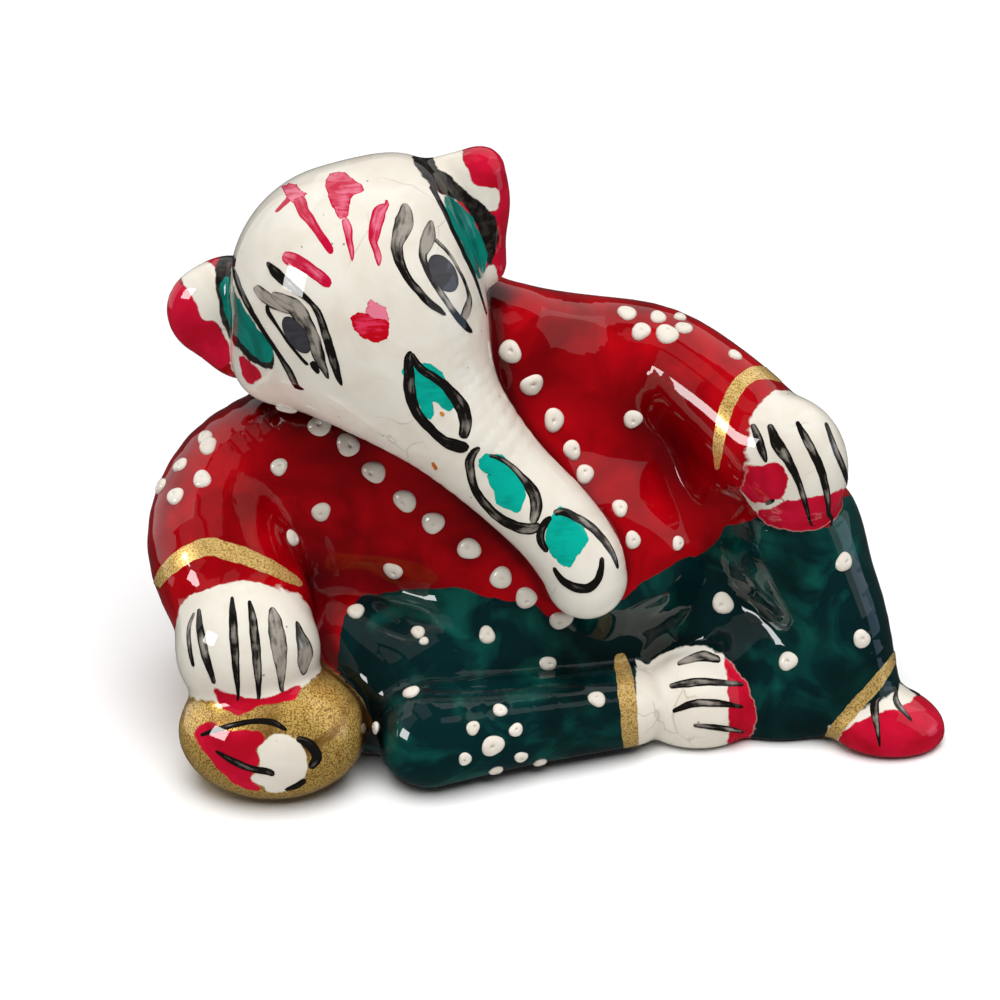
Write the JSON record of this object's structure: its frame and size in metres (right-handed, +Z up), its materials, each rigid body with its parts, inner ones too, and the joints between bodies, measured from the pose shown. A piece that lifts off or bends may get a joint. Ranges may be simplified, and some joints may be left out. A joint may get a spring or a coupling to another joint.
{
  "type": "ganesha statue",
  "caption": "Small glossy painted figurine of a reclining elephant-headed Ganesha, leaning on a bolster with one hand on its raised knee, cast in one piece to stand on a shelf.",
  "frame": {"origin": "middle of the outline that the figure covers, on its flat underside", "axes": "+Z up, +X to the figure's left along its length, -Y the way the figure faces"},
  "size_m": [0.0754, 0.042, 0.0564],
  "materials": {
    "lacquered_paint": "gloss"
  },
  "bodies": {
    "root": {"ganesha_figure": "lacquered_paint"}
  },
  "joints": []
}
